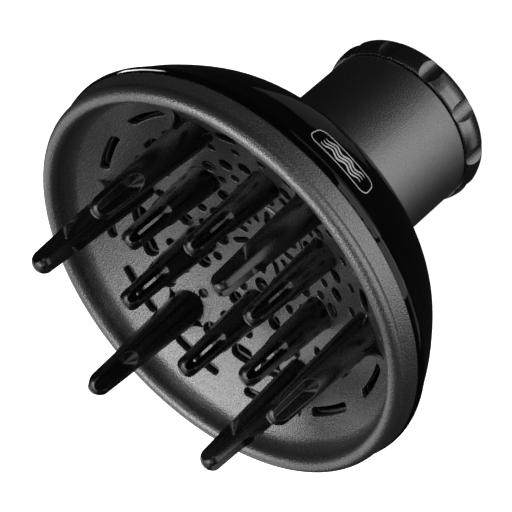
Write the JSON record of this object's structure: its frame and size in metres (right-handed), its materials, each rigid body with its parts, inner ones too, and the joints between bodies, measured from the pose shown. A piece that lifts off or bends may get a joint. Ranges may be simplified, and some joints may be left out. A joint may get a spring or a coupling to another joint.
{
  "type": "hair dryer diffuser",
  "caption": "Round hair dryer diffuser: dished vented bowl with long and short fingers, gloss shell, neck tube and a scalloped twist-lock collar.",
  "frame": {"origin": "centre of the collar's rear face, on which the diffuser stands", "axes": "+Z along the bowl's axis, out through the fingers; +X towards the first long finger"},
  "size_m": [0.1572, 0.1572, 0.1435],
  "materials": {
    "face_grey": "fine grain, matte",
    "inner_black": "matte",
    "gloss_black": "polished gloss",
    "neck_satin": "fine grain, satin",
    "collar_satin": "satin",
    "finger_black": "matte",
    "arm_black": "satin",
    "pad_rubber": "soft matte",
    "pin_steel": "ground",
    "spring_steel": "oiled",
    "screw_steel": "zinc"
  },
  "bodies": {
    "diffuser": {"face_plate": "face_grey", "hub_grille": "face_grey", "backing_plate": "inner_black", "plate_screws": "screw_steel", "bowl_shell": "gloss_black", "neck_tube": "neck_satin", "neck_flange": "neck_satin", "neck_screws": "screw_steel", "snap_ring": "spring_steel", "pivot_pins": "pin_steel", "long_finger_1": "finger_black", "long_finger_2": "finger_black", "long_finger_3": "finger_black", "long_finger_4": "finger_black", "long_finger_5": "finger_black", "long_finger_6": "finger_black", "short_finger_1": "finger_black", "short_finger_2": "finger_black", "short_finger_3": "finger_black", "short_finger_4": "finger_black", "short_finger_5": "finger_black", "short_finger_6": "finger_black"},
    "collar": {"lock_ring": "collar_satin"},
    "arm_1": {"grip_arm_1": "arm_black", "grip_pad_1": "pad_rubber"},
    "arm_2": {"grip_arm_2": "arm_black", "grip_pad_2": "pad_rubber"},
    "arm_3": {"grip_arm_3": "arm_black", "grip_pad_3": "pad_rubber"},
    "arm_4": {"grip_arm_4": "arm_black", "grip_pad_4": "pad_rubber"},
    "arm_5": {"grip_arm_5": "arm_black", "grip_pad_5": "pad_rubber"},
    "arm_6": {"grip_arm_6": "arm_black", "grip_pad_6": "pad_rubber"}
  },
  "joints": [
    {"name": "collar_turn", "type": "hinge", "parent": "diffuser", "child": "collar", "pos_m": [0, 0, 0], "axis": [0, 0, 1], "range_deg": [0, 40]},
    {"name": "arm_1_swing", "type": "hinge", "parent": "diffuser", "child": "arm_1", "pos_m": [0.027, 0, 0.00415], "axis": [0, 0, 1], "range_deg": [0, 12]},
    {"name": "arm_2_swing", "type": "hinge", "parent": "diffuser", "child": "arm_2", "pos_m": [0.0135, 0.02338, 0.00415], "axis": [0, 0, 1], "range_deg": [0, 12]},
    {"name": "arm_3_swing", "type": "hinge", "parent": "diffuser", "child": "arm_3", "pos_m": [-0.0135, 0.02338, 0.00415], "axis": [0, 0, 1], "range_deg": [0, 12]},
    {"name": "arm_4_swing", "type": "hinge", "parent": "diffuser", "child": "arm_4", "pos_m": [-0.027, 0, 0.00415], "axis": [0, 0, 1], "range_deg": [0, 12]},
    {"name": "arm_5_swing", "type": "hinge", "parent": "diffuser", "child": "arm_5", "pos_m": [-0.0135, -0.02338, 0.00415], "axis": [0, 0, 1], "range_deg": [0, 12]},
    {"name": "arm_6_swing", "type": "hinge", "parent": "diffuser", "child": "arm_6", "pos_m": [0.0135, -0.02338, 0.00415], "axis": [0, 0, 1], "range_deg": [0, 12]}
  ],
  "couplings": [
    {"joint": "arm_1_swing", "follows": "collar_turn", "ratio": 0.3},
    {"joint": "arm_2_swing", "follows": "collar_turn", "ratio": 0.3},
    {"joint": "arm_3_swing", "follows": "collar_turn", "ratio": 0.3},
    {"joint": "arm_4_swing", "follows": "collar_turn", "ratio": 0.3},
    {"joint": "arm_5_swing", "follows": "collar_turn", "ratio": 0.3},
    {"joint": "arm_6_swing", "follows": "collar_turn", "ratio": 0.3}
  ]
}
